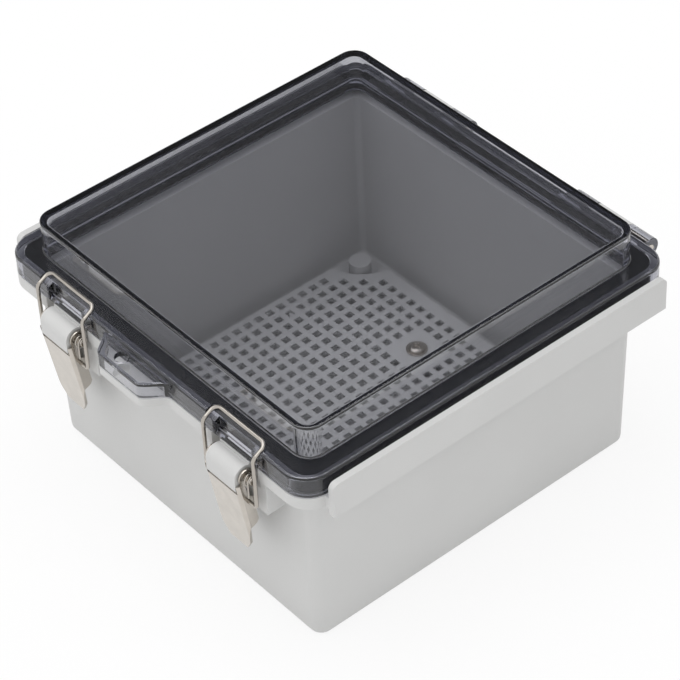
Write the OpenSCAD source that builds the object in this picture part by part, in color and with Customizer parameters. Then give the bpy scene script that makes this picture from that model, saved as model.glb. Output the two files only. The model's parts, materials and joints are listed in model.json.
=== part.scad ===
// Waterproof junction box: clear hinged lid, two draw latches, perforated mounting plate.
// Millimetres, +Z up, latches face -Y, hinges at +Y, origin in the middle of the underside.

/* [Body] */
// Outer width and depth of the box just under its flange
body_w = 180; // [150:1:240]
// Height of the sealing face above the underside
body_h = 93; // [80:1:160]
// How far each wall draws in from the flange down to the underside
body_draw = 1.5; // [0:0.1:2.5]
// Thickness of the body walls
wall = 3; // [2:0.1:4]
// Thickness of the floor
floor_t = 3; // [2:0.1:5]
// Radius of the upright corners
corner_r = 6; // [5:0.5:12]
// Radius of the bottom edge
bottom_r = 3; // [1:0.5:4]

/* [Body flange] */
// Reach of the flange beyond the walls
flange_reach = 10; // [8:0.5:14]
// Thickness of the flange
flange_t = 5.8; // [5:0.1:9]
// Corner radius of the flange and of the lid
flange_r = 12; // [8:0.5:20]
// Thickness of the side lips
lip_t = 3; // [2:0.1:5]
// Gap between the lid and the side lips
lip_gap = 2.2; // [0.5:0.1:4]
// Length of the side lips
lip_len = 182; // [120:1:184]
// Shift of the side lips towards the hinges
lip_shift = 1; // [-2:0.1:3]
// Radius of the side lips' upper end corners
lip_r = 3; // [1:0.5:4]
// Rise of the side lips above the sealing face
lip_rise = 8.3; // [5:0.1:10]
// Drop of the side lips below the sealing face
lip_drop = 8.5; // [7:0.1:20]
// Width of the sealing tongue
tongue_t = 2; // [1.5:0.1:2.5]
// Height of the sealing tongue
tongue_h = 4; // [2:0.1:4]

/* [Lid] */
// Gap between the lid skirt and the body flange
seam_gap = 0.5; // [0.3:0.1:1]
// Height of the lid skirt
skirt_h = 10; // [10:0.1:14]
// Wall thickness of the lid
lid_t = 3; // [2.5:0.1:3.5]
// Thickness of the lid skirt
skirt_t = 4; // [3.5:0.1:5]
// Height of the dome above the lid flange
dome_h = 17.3; // [10:0.1:40]
// Corner radius of the dome
dome_r = 8; // [7:0.5:14]
// Radius along the top edge of the dome
dome_edge_r = 1.2; // [1:0.1:6]
// Radius along the outer edge of the lid flange
rim_r = 1.5; // [1:0.1:4]
// Width of the seal strip
gasket_w = 6; // [4:0.1:6.2]
// Thickness of the seal strip
gasket_t = 3.1; // [2:0.1:3.4]
// Width of the sloped pocket under each latch bail
pocket_w = 23; // [8:0.5:26]
// Depth of that pocket at its top
pocket_depth = 2.6; // [1:0.1:3]

/* [Lock tabs] */
// Sideways place of the tabs along the front
tab_x = -7.2; // [-12:0.1:12]
// Reach of the tabs beyond the flange
tab_reach = 9.5; // [8:0.5:14]
// Length of the tabs at their root
tab_root = 45.6; // [40:0.1:50]
// Length of the tabs at their front
tab_front = 25; // [20:1:30]
// Step from the lid flange down to the top of its tab
tab_step = 2.7; // [1:0.1:4]
// Thickness of the lid tab's top
lid_tab_t = 2.4; // [2:0.1:3]
// Thickness of the wall round the lid tab
tab_wall = 2; // [1.5:0.1:2.5]
// Thickness of the body tab
body_tab_t = 4; // [2:0.1:6]
// Diameter of the lock hole
lock_hole_d = 6.4; // [4:0.1:7]
// Sideways place of the lock hole from the middle of the tabs
lock_hole_x = -4.4; // [-6:0.1:6]
// Distance of the lock hole in front of the flange
lock_hole_out = 3.8; // [3.6:0.1:5]

/* [Hinges] */
// Distance between the two hinges
hinge_pitch = 113.4; // [90:0.1:130]
// Length of one hinge
hinge_len = 46; // [30:1:60]
// Share of the hinge that the body knuckle takes
body_knuckle_len = 19.2; // [10:0.2:24]
// Outer radius of the knuckles
knuckle_r = 5; // [4:0.1:6]
// Diameter of the hinge pins
hinge_pin_d = 4; // [2.5:0.1:5]
// Distance of the hinge axis behind the flange
hinge_out = 8; // [7:0.1:14]

/* [Latches] */
// Distance between the two latches
latch_pitch = 112.2; // [100:0.1:124]
// Width of the lever
lever_w = 21.4; // [16:0.1:22]
// Length of the lever face
lever_len = 37; // [30:0.5:42]
// Tilt of the lever face towards the wall
lever_tilt = 9; // [4:0.5:9]
// Width of the lever tip
lever_tip_w = 11; // [6:0.5:14]
// Thickness of the steel sheet
sheet_t = 1.2; // [0.8:0.1:1.4]
// Radius of the lever ears round the pivot
ear_r = 4; // [3.5:0.1:6]
// Radius of the moulded hood round the pivot
hood_r = 5.2; // [4.5:0.1:5.5]
// Diameter of the pivot pin
latch_pin_d = 3; // [2:0.1:4]
// Drop of the pivot below the sealing face
pivot_drop = 5.5; // [5.5:0.1:9]
// Distance of the pivot in front of the flange
pivot_out = 2.5; // [2:0.1:3]
// Diameter of the bail wire
bail_d = 1.8; // [1.6:0.1:2.8]
// Width of the bail between the middles of its legs
bail_w = 31.6; // [29:0.1:33]
// Distance from the lever pivot down to the bail pivot
bail_arm = 13.1; // [12:0.1:14]
// Diameter of the spring wire
spring_d = 0.8; // [0.4:0.1:0.8]
// Coil radius of the spring
spring_r = 2.5; // [2.4:0.1:3]
// Width of the moulded block behind each latch
block_w = 36; // [34:1:44]
// Height of that block below the flange
block_h = 17.6; // [12:0.1:30]

/* [Mounting plate] */
// Gap between the plate and the walls at the floor
plate_gap = 5.5; // [1:0.5:10]
// Thickness of the plate
plate_t = 1.5; // [1.2:0.1:4]
// Height of the plate's underside above the floor
plate_lift = 4.5; // [3:0.5:15]
// Pitch of the square holes
hole_pitch = 6.55; // [5:0.05:12]
// Width of a square hole
hole_w = 3.6; // [2:0.1:4]
// Radius of the corner cut-outs
notch_r = 26; // [20:0.5:30]
// Radius where a cut-out meets the plate's edge
notch_round = 3; // [1:0.5:4]
// Diameter of the plate screws' heads
screw_head_d = 8; // [6:0.1:9]
// Diameter of the plate screws
screw_d = 4; // [3:0.1:4.5]
// Diameter of the washers
washer_d = 10; // [9:0.1:12]
// Thickness of the washers
washer_t = 0.8; // [0.5:0.1:1.5]

/* [Wall fixing] */
// Distance between the fixing holes in the underside
fixing_pitch = 144; // [100:1:146]
// Diameter of the fixing holes
fixing_d = 4.2; // [3:0.1:6]
// Depth of the fixing holes
fixing_depth = 9; // [5:0.5:10]
// Diameter of the corner posts
post_d = 10.4; // [8:0.1:11]
// Height of the corner posts above the floor
post_h = 9.6; // [9:0.1:20]

/* [Hidden] */
$fn = 48;
over = 1;
hull_fn = 32;

// Clearances
fit_gap = 0.3;
press_gap = 0.02;
run_gap = 0.05;

// Body and flange
flange_half = body_w / 2 + flange_reach;
flange_z = body_h - flange_t;
foot_w = body_w - 2 * body_draw;
inner_r = corner_r - wall;
cavity_edge_r = inner_r * 0.5;
lip_x = flange_half + lip_gap;
front_y = -flange_half;
back_y = flange_half;

// Lid
skirt_z = body_h + seam_gap;
lid_top_z = skirt_z + skirt_h;
dome_top_z = lid_top_z + dome_h;
roof_z = lid_top_z - lid_t;
channel_half = flange_half - skirt_t;
gasket_mid = channel_half - fit_gap / 2 - gasket_w / 2;
gasket_z = roof_z - fit_gap / 3 - gasket_t;
rib_half = gasket_mid - gasket_w / 2 - fit_gap / 2;
rib_t = rib_half - body_w / 2 + lid_t - fit_gap;

// Lock tabs
lid_tab_top_z = lid_top_z - tab_step;
body_tab_z = body_h - body_tab_t;
lock_hole_y = front_y - lock_hole_out;

// Hinge axis
hinge_y = back_y + hinge_out;
hinge_z = body_h - seam_gap;
knuckle_gap = 0.4;

// Latch pivot and the points that turn about it, as [y, z] from the pivot
pivot_y = front_y - pivot_out;
pivot_z = body_h - pivot_drop;
hood_w = lever_w - 2 * sheet_t - 2 * fit_gap;
face_out = hood_r + 0.7;
face_drop = hood_r + 1.45;
nose_low = -hood_r - 1.8;
nose_r = norm([face_out - sheet_t, face_drop]) - 0.4;
slot_w = (bail_w - bail_d - hood_w) / 2 - fit_gap;
slot_r = face_out + 0.5;
bail_pivot = [-0.2, -bail_arm];
lean_pivot = [bail_pivot[0] * cos(lever_tilt) + bail_pivot[1] * sin(lever_tilt),
    bail_pivot[1] * cos(lever_tilt) - bail_pivot[0] * sin(lever_tilt)];
bail_bend_r = 3.2;
bar_y = pivot_out + 4.5;
bar_z = lid_top_z + bail_d / 2 + fit_gap - pivot_z;
bend_z = bar_z - 4;
cheek_len = 22;
cheek_depth = 5.9;
cheek_strip = 4;
fold_r = 1.8;
block_y = front_y + 0.8;
block_wall = 2.5;
spring_turns = 1.5;
spring_x = lever_w / 2 + fit_gap + spring_d / 2;
pin_end_x = (bail_w - bail_d) / 2 - fit_gap;
pin_head_t = 0.8;

// Mounting plate
plate_half = foot_w / 2 - wall - plate_gap;
plate_z = floor_t + plate_lift;
plate_top_z = plate_z + plate_t;
post_at = fixing_pitch / 2;
notch_at = post_at + (notch_r - post_d / 2 - 0.5) / sqrt(2);
hole_span = (plate_half - hole_w / 2 - 2.5) / hole_pitch;
hole_columns = floor(hole_span + 0.5);
hole_rows = floor(hole_span);
screw_grid = [1, 8];
screw_places = [for (s = [-1, 1]) [s * (screw_grid[0] + 0.5), -s * screw_grid[1]] * hole_pitch];
pad_places = [for (sx = [-1, 1], sy = [-1, 1]) [sx * 0.84, sy * 0.37] * plate_half];
pad_d = 8;
screw_head_h = 1.6;
screw_len = plate_lift + 0.5;

// Finishes
abs_grey = "#c8c9ca";
smoke = "#3c3d42";
nickel = "#c9c4bb";
rubber = "#2a2b2d";
plate_grey = "#a9abae";

// Flat rounded square, centred
module rounded_square(w, r) {
    square([w - 2 * r, w], center = true);
    square([w, w - 2 * r], center = true);
    for (sx = [-1, 1], sy = [-1, 1])
        translate([sx, sy] * (w / 2 - r)) circle(r);
}

// Ring between two rounded squares
module square_ring(w, r, thick, h) {
    linear_extrude(h) difference() {
        rounded_square(w + thick, r + thick / 2);
        rounded_square(w - thick, r - thick / 2);
    }
}

// Edge ring of one corner: round in plan, rounded in section unless edge is 0
module corner_ring(r, edge, z) {
    if (edge > 0)
        translate([0, 0, z]) rotate_extrude($fn = hull_fn) intersection() {
            translate([r - edge, 0]) circle(edge, $fn = hull_fn / 2);
            translate([0, -edge]) square([r, 2 * edge]);
        }
    else
        translate([0, 0, z]) cylinder(r = r, h = 0.01, $fn = hull_fn);
}

// Square block with drawn sides and rounded low or top edges
module soft_block(low_w, top_w, h, r, low_edge, top_edge) {
    hull() for (sx = [-1, 1], sy = [-1, 1]) {
        translate([sx, sy, 0] * (low_w / 2 - r)) corner_ring(r, low_edge, low_edge);
        translate([sx, sy, 0] * (top_w / 2 - r)) corner_ring(r, top_edge, h - max(top_edge, 0.01));
    }
}

// Cylinder along X, centred on x = 0
module bar(d, len) {
    rotate([0, 90, 0]) cylinder(d = d, h = len, center = true);
}

// Flat [y, z] profile pushed out along X, centred on x = 0
module side_profile(w) {
    translate([-w / 2, 0, 0]) rotate([90, 0, 90]) linear_extrude(w) children();
}

// Children at the four corners of a square
module at_corners(pitch) {
    for (sx = [-1, 1], sy = [-1, 1]) translate([sx, sy, 0] * pitch / 2) children();
}

// Children at one latch pivot
module at_latch(side) {
    translate([side * latch_pitch / 2, pivot_y, pivot_z]) children();
}

// Outline of a lock tab, with an S-curve from root to front on both ends, drawn in by inset
module tab_outline(root_y, inset = 0) {
    steps = 12;
    ease = [for (i = [0:steps]) [i / steps, (1 - cos(180 * i / steps)) / 2]];
    run = (tab_root - tab_front) / 2;
    start = tab_x - tab_root / 2 + 1.3 * inset;
    left = [for (e = ease) [start + run * e[0], front_y - (tab_reach - inset) * e[1]]];
    right = [for (i = [steps:-1:0]) [2 * tab_x - left[i][0], left[i][1]]];
    polygon(concat([[start, root_y]], left, right, [[2 * tab_x - start, root_y]]));
}

module lock_hole() {
    translate([tab_x + lock_hole_x, lock_hole_y, body_tab_z - over])
        cylinder(d = lock_hole_d, h = lid_top_z - body_tab_z + over);
}

// Rounded wire swept along points
function unit(v) = v / norm(v);
function tangent(p, i) = unit(p[min(i + 1, len(p) - 1)] - p[max(i - 1, 0)]);
function square_to(n, t) = unit(n - (n * t) * t);
function frames(p, n, i = 0) = i == len(p) ? [] :
    let (now = square_to(n, tangent(p, i))) concat([now], frames(p, now, i + 1));
module wire(p, d, start, sides) {
    side = frames(p, start);
    rings = [for (i = [0:len(p) - 1]) let (b = cross(tangent(p, i), side[i]))
        for (k = [0:sides - 1]) p[i] + d / 2 * (cos(360 * k / sides) * side[i] + sin(360 * k / sides) * b)];
    last = (len(p) - 1) * sides;
    walls = [for (i = [0:len(p) - 2], k = [0:sides - 1]) let (m = (k + 1) % sides, a = i * sides)
        [a + k, a + sides + k, a + sides + m, a + m]];
    caps = [[for (k = [0:sides - 1]) k], [for (k = [sides - 1:-1:0]) last + k]];
    polyhedron(rings, concat(walls, caps));
}

// Path with each inner corner rounded to its own radius
function corner_arc(a, b, c, r, n = 6) = let (u = unit(a - b), v = unit(c - b),
    half = acos(u * v) / 2, mid = b + unit(u + v) * r / sin(half),
    e = -unit(u + v), f = unit(v - u), turn = 90 - half)
    [for (i = [0:n]) let (t = turn * (2 * i / n - 1)) mid + r * (cos(t) * e + sin(t) * f)];
function rounded_path(p, r) = concat([p[0]],
    [for (i = [1:len(p) - 2]) each corner_arc(p[i - 1], p[i], p[i + 1], r[i - 1])], [p[len(p) - 1]]);

module base_shell() {
    soft_block(foot_w, body_w, body_h - flange_t / 2, corner_r, bottom_r, 0);
    translate([0, 0, flange_z]) linear_extrude(flange_t) rounded_square(2 * flange_half, flange_r);
    translate([0, 0, body_h - over]) square_ring(2 * gasket_mid, flange_r / 2, tongue_t, tongue_h + over);
    for (side = [-1, 1]) side_lip(side);
    for (side = [-1, 1]) latch_block(side);
    for (side = [-1, 1]) translate([side * hinge_pitch / 2, 0, 0]) body_knuckle();
    body_tab();
}

// Lip that rises beside the lid on the left or right, with the web that joins it to the flange
module side_lip(side) {
    web = flange_r + lip_t / 2 + lip_gap;
    translate([side * (lip_x + lip_t / 2), lip_shift, 0]) side_profile(lip_t) lip_outline();
    translate([side * (lip_x + lip_t / 2 - web / 2), lip_shift, flange_z + flange_t / 2])
        cube([web, lip_len, flange_t], center = true);
}

// Outline of a side lip, seen from the side
module lip_outline() {
    low = body_h - lip_drop;
    high = body_h + lip_rise;
    translate([-lip_len / 2, low]) square([lip_len, high - lip_r - low]);
    translate([lip_r - lip_len / 2, low]) square([lip_len - 2 * lip_r, high - low]);
    for (end = [-1, 1]) translate([end * (lip_len / 2 - lip_r), high - lip_r]) circle(lip_r);
}

// Hollow block behind a latch, with the hood that carries its pivot
module latch_block(side) {
    translate([side * latch_pitch / 2, 0, 0]) difference() {
        translate([-block_w / 2, block_y, flange_z - block_h])
            cube([block_w, wall / 2 - body_w / 2 - block_y, block_h + over]);
        translate([block_wall - block_w / 2, block_y + block_wall, flange_z - block_h - over])
            cube([block_w - 2 * block_wall, -body_w / 2 - block_y - block_wall,
                block_h + over - block_wall]);
    }
    at_latch(side) side_profile(hood_w) hood_profile();
}

module hood_profile() {
    reach = block_y - pivot_y + block_wall;
    circle(hood_r);
    intersection() {
        translate([-hood_r, nose_low]) square([hood_r + reach, -nose_low]);
        circle(nose_r);
    }
    translate([0, nose_low]) square([reach, pivot_drop - 2.5 - nose_low]);
}

// Slots beside the hood, where the ears and the spring turn
module latch_slots(side) {
    for (end = [-1, 1]) at_latch(side)
        translate([end * (hood_w + slot_w) / 2, 0, 0]) bar(2 * slot_r, slot_w);
}

module body_knuckle() {
    translate([0, hinge_y, hinge_z]) bar(2 * knuckle_r, body_knuckle_len);
    translate([-body_knuckle_len / 2, back_y - over, hinge_z - knuckle_r])
        cube([body_knuckle_len, hinge_out + over, knuckle_r]);
}

module body_tab() {
    translate([0, 0, body_tab_z]) linear_extrude(body_tab_t) tab_outline(front_y + over);
}

module base_body() color(abs_grey) difference() {
    union() {
        difference() {
            base_shell();
            translate([0, 0, floor_t]) soft_block(foot_w - 2 * wall, body_w - 2 * wall,
                body_h - floor_t + over, inner_r, cavity_edge_r, 0);
        }
        at_corners(fixing_pitch) translate([0, 0, floor_t - over]) cylinder(d = post_d, h = post_h + over);
        for (p = concat(screw_places, pad_places))
            translate([p[0], p[1], floor_t - over]) cylinder(d = pad_d, h = plate_lift + over);
    }
    at_corners(fixing_pitch) translate([0, 0, -over]) cylinder(d = fixing_d, h = fixing_depth + over);
    for (p = screw_places) translate([p[0], p[1], plate_z - screw_len])
        cylinder(d = screw_d + 2 * press_gap, h = screw_len + over);
    for (side = [-1, 1]) {
        latch_slots(side);
        at_latch(side) bar(latch_pin_d + 2 * press_gap, lever_w);
        translate([side * hinge_pitch / 2, hinge_y, hinge_z]) bar(hinge_pin_d + 2 * press_gap, hinge_len);
    }
    lock_hole();
}

// Knuckles of the lid at one hinge
module lid_knuckles() {
    len = (hinge_len - body_knuckle_len) / 2 - knuckle_gap;
    for (end = [-1, 1]) translate([end * (hinge_len - len) / 2, 0, 0]) {
        translate([0, hinge_y, hinge_z]) bar(2 * knuckle_r, len);
        translate([-len / 2, back_y - over, skirt_z])
            cube([len, hinge_out + over, hinge_z + knuckle_r - skirt_z]);
    }
}

// Sloped pocket in the front skirt, and the chamfer that clears the bail's bends
module bail_pocket(side) {
    translate([side * latch_pitch / 2, front_y, 0]) side_profile(pocket_w)
        polygon([[-over, skirt_z + 1], [0, skirt_z + 1], [pocket_depth, roof_z],
            [pocket_depth, lid_top_z + over], [-over, lid_top_z + over]]);
    slope = atan2(bar_z - bend_z, bar_y - bail_pivot[0]);
    chamfer_w = bail_w + bail_d + 4 * fit_gap;
    at_latch(side) translate([0, bail_pivot[0], bend_z]) rotate([slope, 0, 0])
        translate([-chamfer_w / 2, -bail_d, -bail_d / 2 - fit_gap])
            cube([chamfer_w, bar_y + 2 * bail_d, 4 * bail_d]);
}

// Flat section swept round a square: its x runs outwards from the axis of each corner
module swept_frame(half, r) {
    run = half - r;
    for (turn = [0:3]) rotate([0, 0, 90 * turn]) translate([run, run, 0]) {
        rotate([90, 0, 0]) linear_extrude(2 * run) children();
        rotate_extrude(angle = 90) children();
    }
}

// Upright section, x from 0 to w and y from low to high, with its upper outer corner rounded
module edge_section(w, low, high, r) {
    translate([0, low]) square([w, high - low - r]);
    translate([0, low]) square([w - r, high - low]);
    translate([w - r, high - r]) circle(r);
}

// Skirt, flange and dome of the lid, hollow below
module lid_shell() {
    dome_half = body_w / 2;
    swept_frame(flange_half, flange_r) intersection() {
        edge_section(flange_r, skirt_z, lid_top_z, rim_r);
        translate([flange_r - skirt_t, skirt_z]) square([skirt_t, skirt_h]);
    }
    translate([0, 0, roof_z]) linear_extrude(lid_t) difference() {
        rounded_square(2 * (flange_half - rim_r), flange_r - rim_r);
        rounded_square(2 * (dome_half - lid_t / 2), dome_r - lid_t / 2);
    }
    swept_frame(dome_half, dome_r) difference() {
        edge_section(dome_r, roof_z, dome_top_z, dome_edge_r);
        edge_section(dome_r - lid_t, roof_z - over, dome_top_z - lid_t, dome_edge_r / 3);
    }
    translate([0, 0, dome_top_z - lid_t / 2])
        cube([body_w - 2 * dome_r, body_w - 2 * dome_r, lid_t], center = true);
}

// Lock tab of the lid: a top plate with a wall down to the seam
module lid_tab() {
    difference() {
        translate([0, 0, skirt_z]) linear_extrude(lid_tab_top_z - skirt_z) tab_outline(front_y + over);
        translate([0, 0, skirt_z - over]) linear_extrude(lid_tab_top_z - lid_tab_t - skirt_z + over)
            tab_outline(front_y + 2 * over, tab_wall);
    }
}

module lid() color(smoke) difference() {
    union() {
        lid_shell();
        translate([0, 0, gasket_z])
            square_ring(2 * rib_half - rib_t, dome_r, rib_t, roof_z - gasket_z + lid_t / 2);
        for (side = [-1, 1]) translate([side * hinge_pitch / 2, 0, 0]) lid_knuckles();
        lid_tab();
    }
    for (side = [-1, 1]) {
        bail_pocket(side);
        translate([side * hinge_pitch / 2, hinge_y, hinge_z])
            bar(hinge_pin_d + 2 * run_gap, hinge_len + over);
    }
    lock_hole();
}

module lid_gasket() color(rubber)
    translate([0, 0, gasket_z]) square_ring(2 * gasket_mid, flange_r / 2, gasket_w, gasket_t);

// Cut-out of one plate corner, with its two shoulders rounded
module corner_notch() {
    drop = notch_at - plate_half + notch_round;
    mid = [notch_at - sqrt(pow(notch_r + notch_round, 2) - drop * drop), plate_half - notch_round];
    touch = [notch_at, notch_at] + unit(mid - [notch_at, notch_at]) * notch_r;
    translate([notch_at, notch_at]) circle(notch_r, $fn = 2 * $fn);
    for (swap = [0, 1]) mirror([swap, -swap]) difference() {
        polygon([[mid[0], plate_half + over], mid, touch, [notch_at, plate_half + over]]);
        translate(mid) circle(notch_round);
    }
}

module mounting_plate() color(plate_grey) translate([0, 0, plate_z]) linear_extrude(plate_t) difference() {
    square(2 * plate_half, center = true);
    for (turn = [0:3]) rotate(90 * turn) corner_notch();
    for (ix = [-hole_columns:hole_columns - 1], iy = [-hole_rows:hole_rows]) {
        p = [ix + 0.5, iy] * hole_pitch;
        near_notch = norm([abs(p[0]), abs(p[1])] - [notch_at, notch_at]) < notch_r + 1.6 * hole_w;
        near_screw = min([for (s = screw_places) norm(p - s)]) < 1.5 * hole_pitch;
        if (!near_notch && !near_screw) translate(p) square(hole_w, center = true);
    }
    for (p = screw_places) translate(p) circle(d = screw_d + 2 * run_gap);
}

module plate_screws() color(nickel) for (p = screw_places)
    translate([p[0], p[1], plate_top_z + washer_t]) difference() {
        shank = plate_t + washer_t + screw_len;
        recess_w = 0.2 * screw_d;
        union() {
            cylinder(d = screw_head_d, h = screw_head_h / 2);
            translate([0, 0, screw_head_h / 2])
                cylinder(d1 = screw_head_d, d2 = 0.7 * screw_head_d, h = screw_head_h / 2);
            translate([0, 0, over - shank]) cylinder(d = screw_d, h = shank);
        }
        for (turn = [0, 90]) rotate([0, 0, turn])
            translate([-screw_d / 2, -recess_w / 2, screw_head_h / 2])
                cube([screw_d, recess_w, screw_head_h]);
    }

module plate_washers() color(nickel) for (p = screw_places)
    translate([p[0], p[1], plate_top_z]) difference() {
        cylinder(d = washer_d, h = washer_t);
        translate([0, 0, -over]) cylinder(d = screw_d + 2 * run_gap, h = washer_t + 2 * over);
    }

module hinge_pin(side) color(nickel) translate([side * hinge_pitch / 2, hinge_y, hinge_z])
    bar(hinge_pin_d, hinge_len + 2 * knuckle_gap);

// Front corner pair of a folded sheet, seen from above
module fold_outline(w, front, r) {
    translate([-w / 2, front + r]) square([w, 2 * lever_w]);
    translate([r - w / 2, front]) square([w - 2 * r, 2 * r]);
    for (end = [-1, 1]) translate([end * (w / 2 - r), front + r]) circle(r);
}

// The lever's two sides and tongue, seen from the side
module lever_side() {
    face = -face_out;
    ear = bail_d / 2 + 1.7;
    inside = 0.9 * ear;
    low = -face_drop - cheek_len;
    circle(ear_r);
    translate(lean_pivot) circle(ear);
    translate([face, lean_pivot[1] - ear]) square([cheek_strip, -lean_pivot[1] + ear - ear_r / 2]);
    polygon([[face, lean_pivot[1] + 2], [face, low], [face + cheek_depth - 1.2, low + 1.5],
        [face + cheek_depth, low + 3], [face + cheek_depth, lean_pivot[1] - 6],
        lean_pivot + inside * [cos(30), -sin(30)], lean_pivot + inside * [-sin(30), cos(30)]]);
    translate([face, -face_drop - lever_len]) square([sheet_t, lever_len]);
}

// The lever's outline, seen from the front
module lever_front() {
    half = lever_w / 2;
    tip = lever_tip_w / 2;
    shoulder = half - 2;
    low = -face_drop - lever_len;
    root = over - face_drop - cheek_len;
    neck = low + (root - low) / 3;
    translate([-half, root]) square([lever_w, 2 * lever_len]);
    polygon([[-half, root + over], [-half, root], [-shoulder, neck], [-tip, low],
        [tip, low], [shoulder, neck], [half, root], [half, root + over]]);
}

module latch_lever(side) color(nickel) at_latch(side) difference() {
    window = lever_w - 2 * sheet_t + fit_gap;
    rotate([lever_tilt, 0, 0]) intersection() {
        translate([0, 0, -2 * lever_len]) linear_extrude(3 * lever_len) difference() {
            fold_outline(lever_w, -face_out, fold_r);
            fold_outline(lever_w - 2 * sheet_t, sheet_t - face_out, fold_r - sheet_t);
        }
        side_profile(2 * lever_w) lever_side();
        translate([0, lever_len, 0]) rotate([90, 0, 0]) linear_extrude(2 * lever_len) lever_front();
    }
    rotate([lever_tilt, 0, 0]) translate([-window / 2, -2 * lever_w, -face_drop])
        cube([window, 2 * lever_w + 2 * fold_r - face_out, 2 * lever_len]);
    bar(latch_pin_d + 2 * run_gap, 2 * lever_w);
    translate([0, bail_pivot[0], bail_pivot[1]]) bar(bail_d + 2 * run_gap, 2 * lever_w);
}

module latch_bail(side) {
    half = bail_w / 2;
    stub = [lever_w / 2 - sheet_t - fit_gap, half - bail_d - fit_gap];
    bend_r = bail_d - 0.1;
    low = [0, bail_pivot[0], bail_pivot[1]];
    lead = low + [half - bail_d - 0.8, 0, 0];
    right = [[half, low[1], bend_z], low + [half, 0, 0], lead];
    left = [for (i = [2:-1:0]) [-right[i][0], right[i][1], right[i][2]]];
    path = rounded_path(concat(left, [[-half, bar_y, bar_z], [half, bar_y, bar_z]], right),
        [bend_r, bail_bend_r, bail_bend_r, bail_bend_r, bail_bend_r, bend_r]);
    color(nickel) at_latch(side) {
        wire(path, bail_d - 0.04, [0, 0, 1], 12);
        for (end = [-1, 1]) translate(low + [end * (stub[0] + stub[1]) / 2, 0, 0])
            bar(bail_d, stub[1] - stub[0]);
    }
}

module latch_pin(side) color(nickel) at_latch(side) {
    head_x = -lever_w / 2 - fit_gap - pin_head_t;
    translate([(pin_end_x + head_x) / 2, 0, 0]) bar(latch_pin_d, pin_end_x - head_x);
    translate([head_x + pin_head_t / 2, 0, 0]) bar(latch_pin_d + 1.6, pin_head_t);
}

// Torsion spring on the pin, outside the right cheek
module latch_spring(side) {
    steps = 16;
    pitch = (pin_end_x - spring_x - spring_d / 2) / spring_turns;
    arm = [0, 0, 3 * spring_r];
    coil = [for (i = [0:steps * spring_turns]) let (a = 360 * i / steps)
        [spring_x + pitch * i / steps, spring_r * cos(a), spring_r * sin(a)]];
    color(nickel) at_latch(side)
        wire(concat([coil[0] - arm], coil, [coil[len(coil) - 1] - arm]), spring_d, [1, 0, 0], 8);
}

base_body();
lid();
lid_gasket();
mounting_plate();
plate_screws();
plate_washers();
hinge_pin(-1);  // hinge_pin_left
hinge_pin(1);  // hinge_pin_right
latch_lever(-1);  // latch_lever_left
latch_lever(1);  // latch_lever_right
latch_bail(-1);  // latch_bail_left
latch_bail(1);  // latch_bail_right
latch_pin(-1);  // latch_pin_left
latch_pin(1);  // latch_pin_right
latch_spring(-1);  // latch_spring_left
latch_spring(1);  // latch_spring_right
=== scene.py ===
import json
import math

import bpy
from mathutils import Matrix, Vector


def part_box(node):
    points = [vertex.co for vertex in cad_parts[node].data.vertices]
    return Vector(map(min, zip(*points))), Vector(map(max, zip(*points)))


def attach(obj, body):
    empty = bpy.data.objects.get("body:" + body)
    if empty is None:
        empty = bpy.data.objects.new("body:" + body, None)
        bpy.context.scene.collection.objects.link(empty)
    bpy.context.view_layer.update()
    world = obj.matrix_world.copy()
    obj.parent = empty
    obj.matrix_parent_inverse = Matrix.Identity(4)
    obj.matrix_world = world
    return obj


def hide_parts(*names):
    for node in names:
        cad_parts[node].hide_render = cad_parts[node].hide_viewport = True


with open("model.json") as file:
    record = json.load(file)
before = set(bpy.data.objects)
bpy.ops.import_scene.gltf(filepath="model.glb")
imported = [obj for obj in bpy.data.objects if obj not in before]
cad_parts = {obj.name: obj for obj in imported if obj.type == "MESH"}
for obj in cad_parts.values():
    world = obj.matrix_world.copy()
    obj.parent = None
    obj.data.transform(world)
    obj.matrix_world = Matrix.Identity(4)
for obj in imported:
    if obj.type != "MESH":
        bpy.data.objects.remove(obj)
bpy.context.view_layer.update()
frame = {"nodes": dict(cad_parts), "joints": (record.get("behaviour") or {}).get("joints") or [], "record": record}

bl_info = {
    "name": "Waterproof junction box",
    "version": (1, 0, 0),
    "blender": (4, 5, 0),
    "location": "View3D > Sidebar > Junction Box",
    "description": "Moulded body, smoke lid, draw latches, mounting plate and a plain studio",
    "category": "Object",
}

MM = 0.001
SIDES = ("left", "right")
JOINTS = {joint["name"]: joint for joint in frame["joints"]}
LATCH_PIVOT = Vector(JOINTS["latch_right"]["pos_m"])
BAIL_PIVOT = Vector(JOINTS["bail_right"]["pos_m"])
LATCH_STEP = Vector(JOINTS["latch_left"]["pos_m"]) - LATCH_PIVOT
HINGE_AXIS = Vector(JOINTS["lid_hinge"]["pos_m"])
CREASE = 32  # degrees: a sharper edge of a moulding or pressing is rounded, and stops smooth shading
WIRE_PAINTED_SHADE = 0.8  # painted shade: drawn wire gets this share of the sheet's nickel colour, standing in for the dark surroundings that its round face would reflect


# Colours and material nodes

def linear(hex_colour):
    """An sRGB hex colour as linear red, green and blue."""
    parts = [int(hex_colour[i:i + 2], 16) / 255 for i in (1, 3, 5)]
    return tuple(p / 12.92 if p <= 0.04045 else ((p + 0.055) / 1.055) ** 2.4 for p in parts)


def shade(colour, share):
    """A linear colour made lighter or darker, with full alpha."""
    return (*[min(1.0, c * share) for c in colour], 1.0)


def per_mm(size):
    """The texture scale at which a pattern repeats about every so many millimetres."""
    return 1 / (size * MM)


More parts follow.
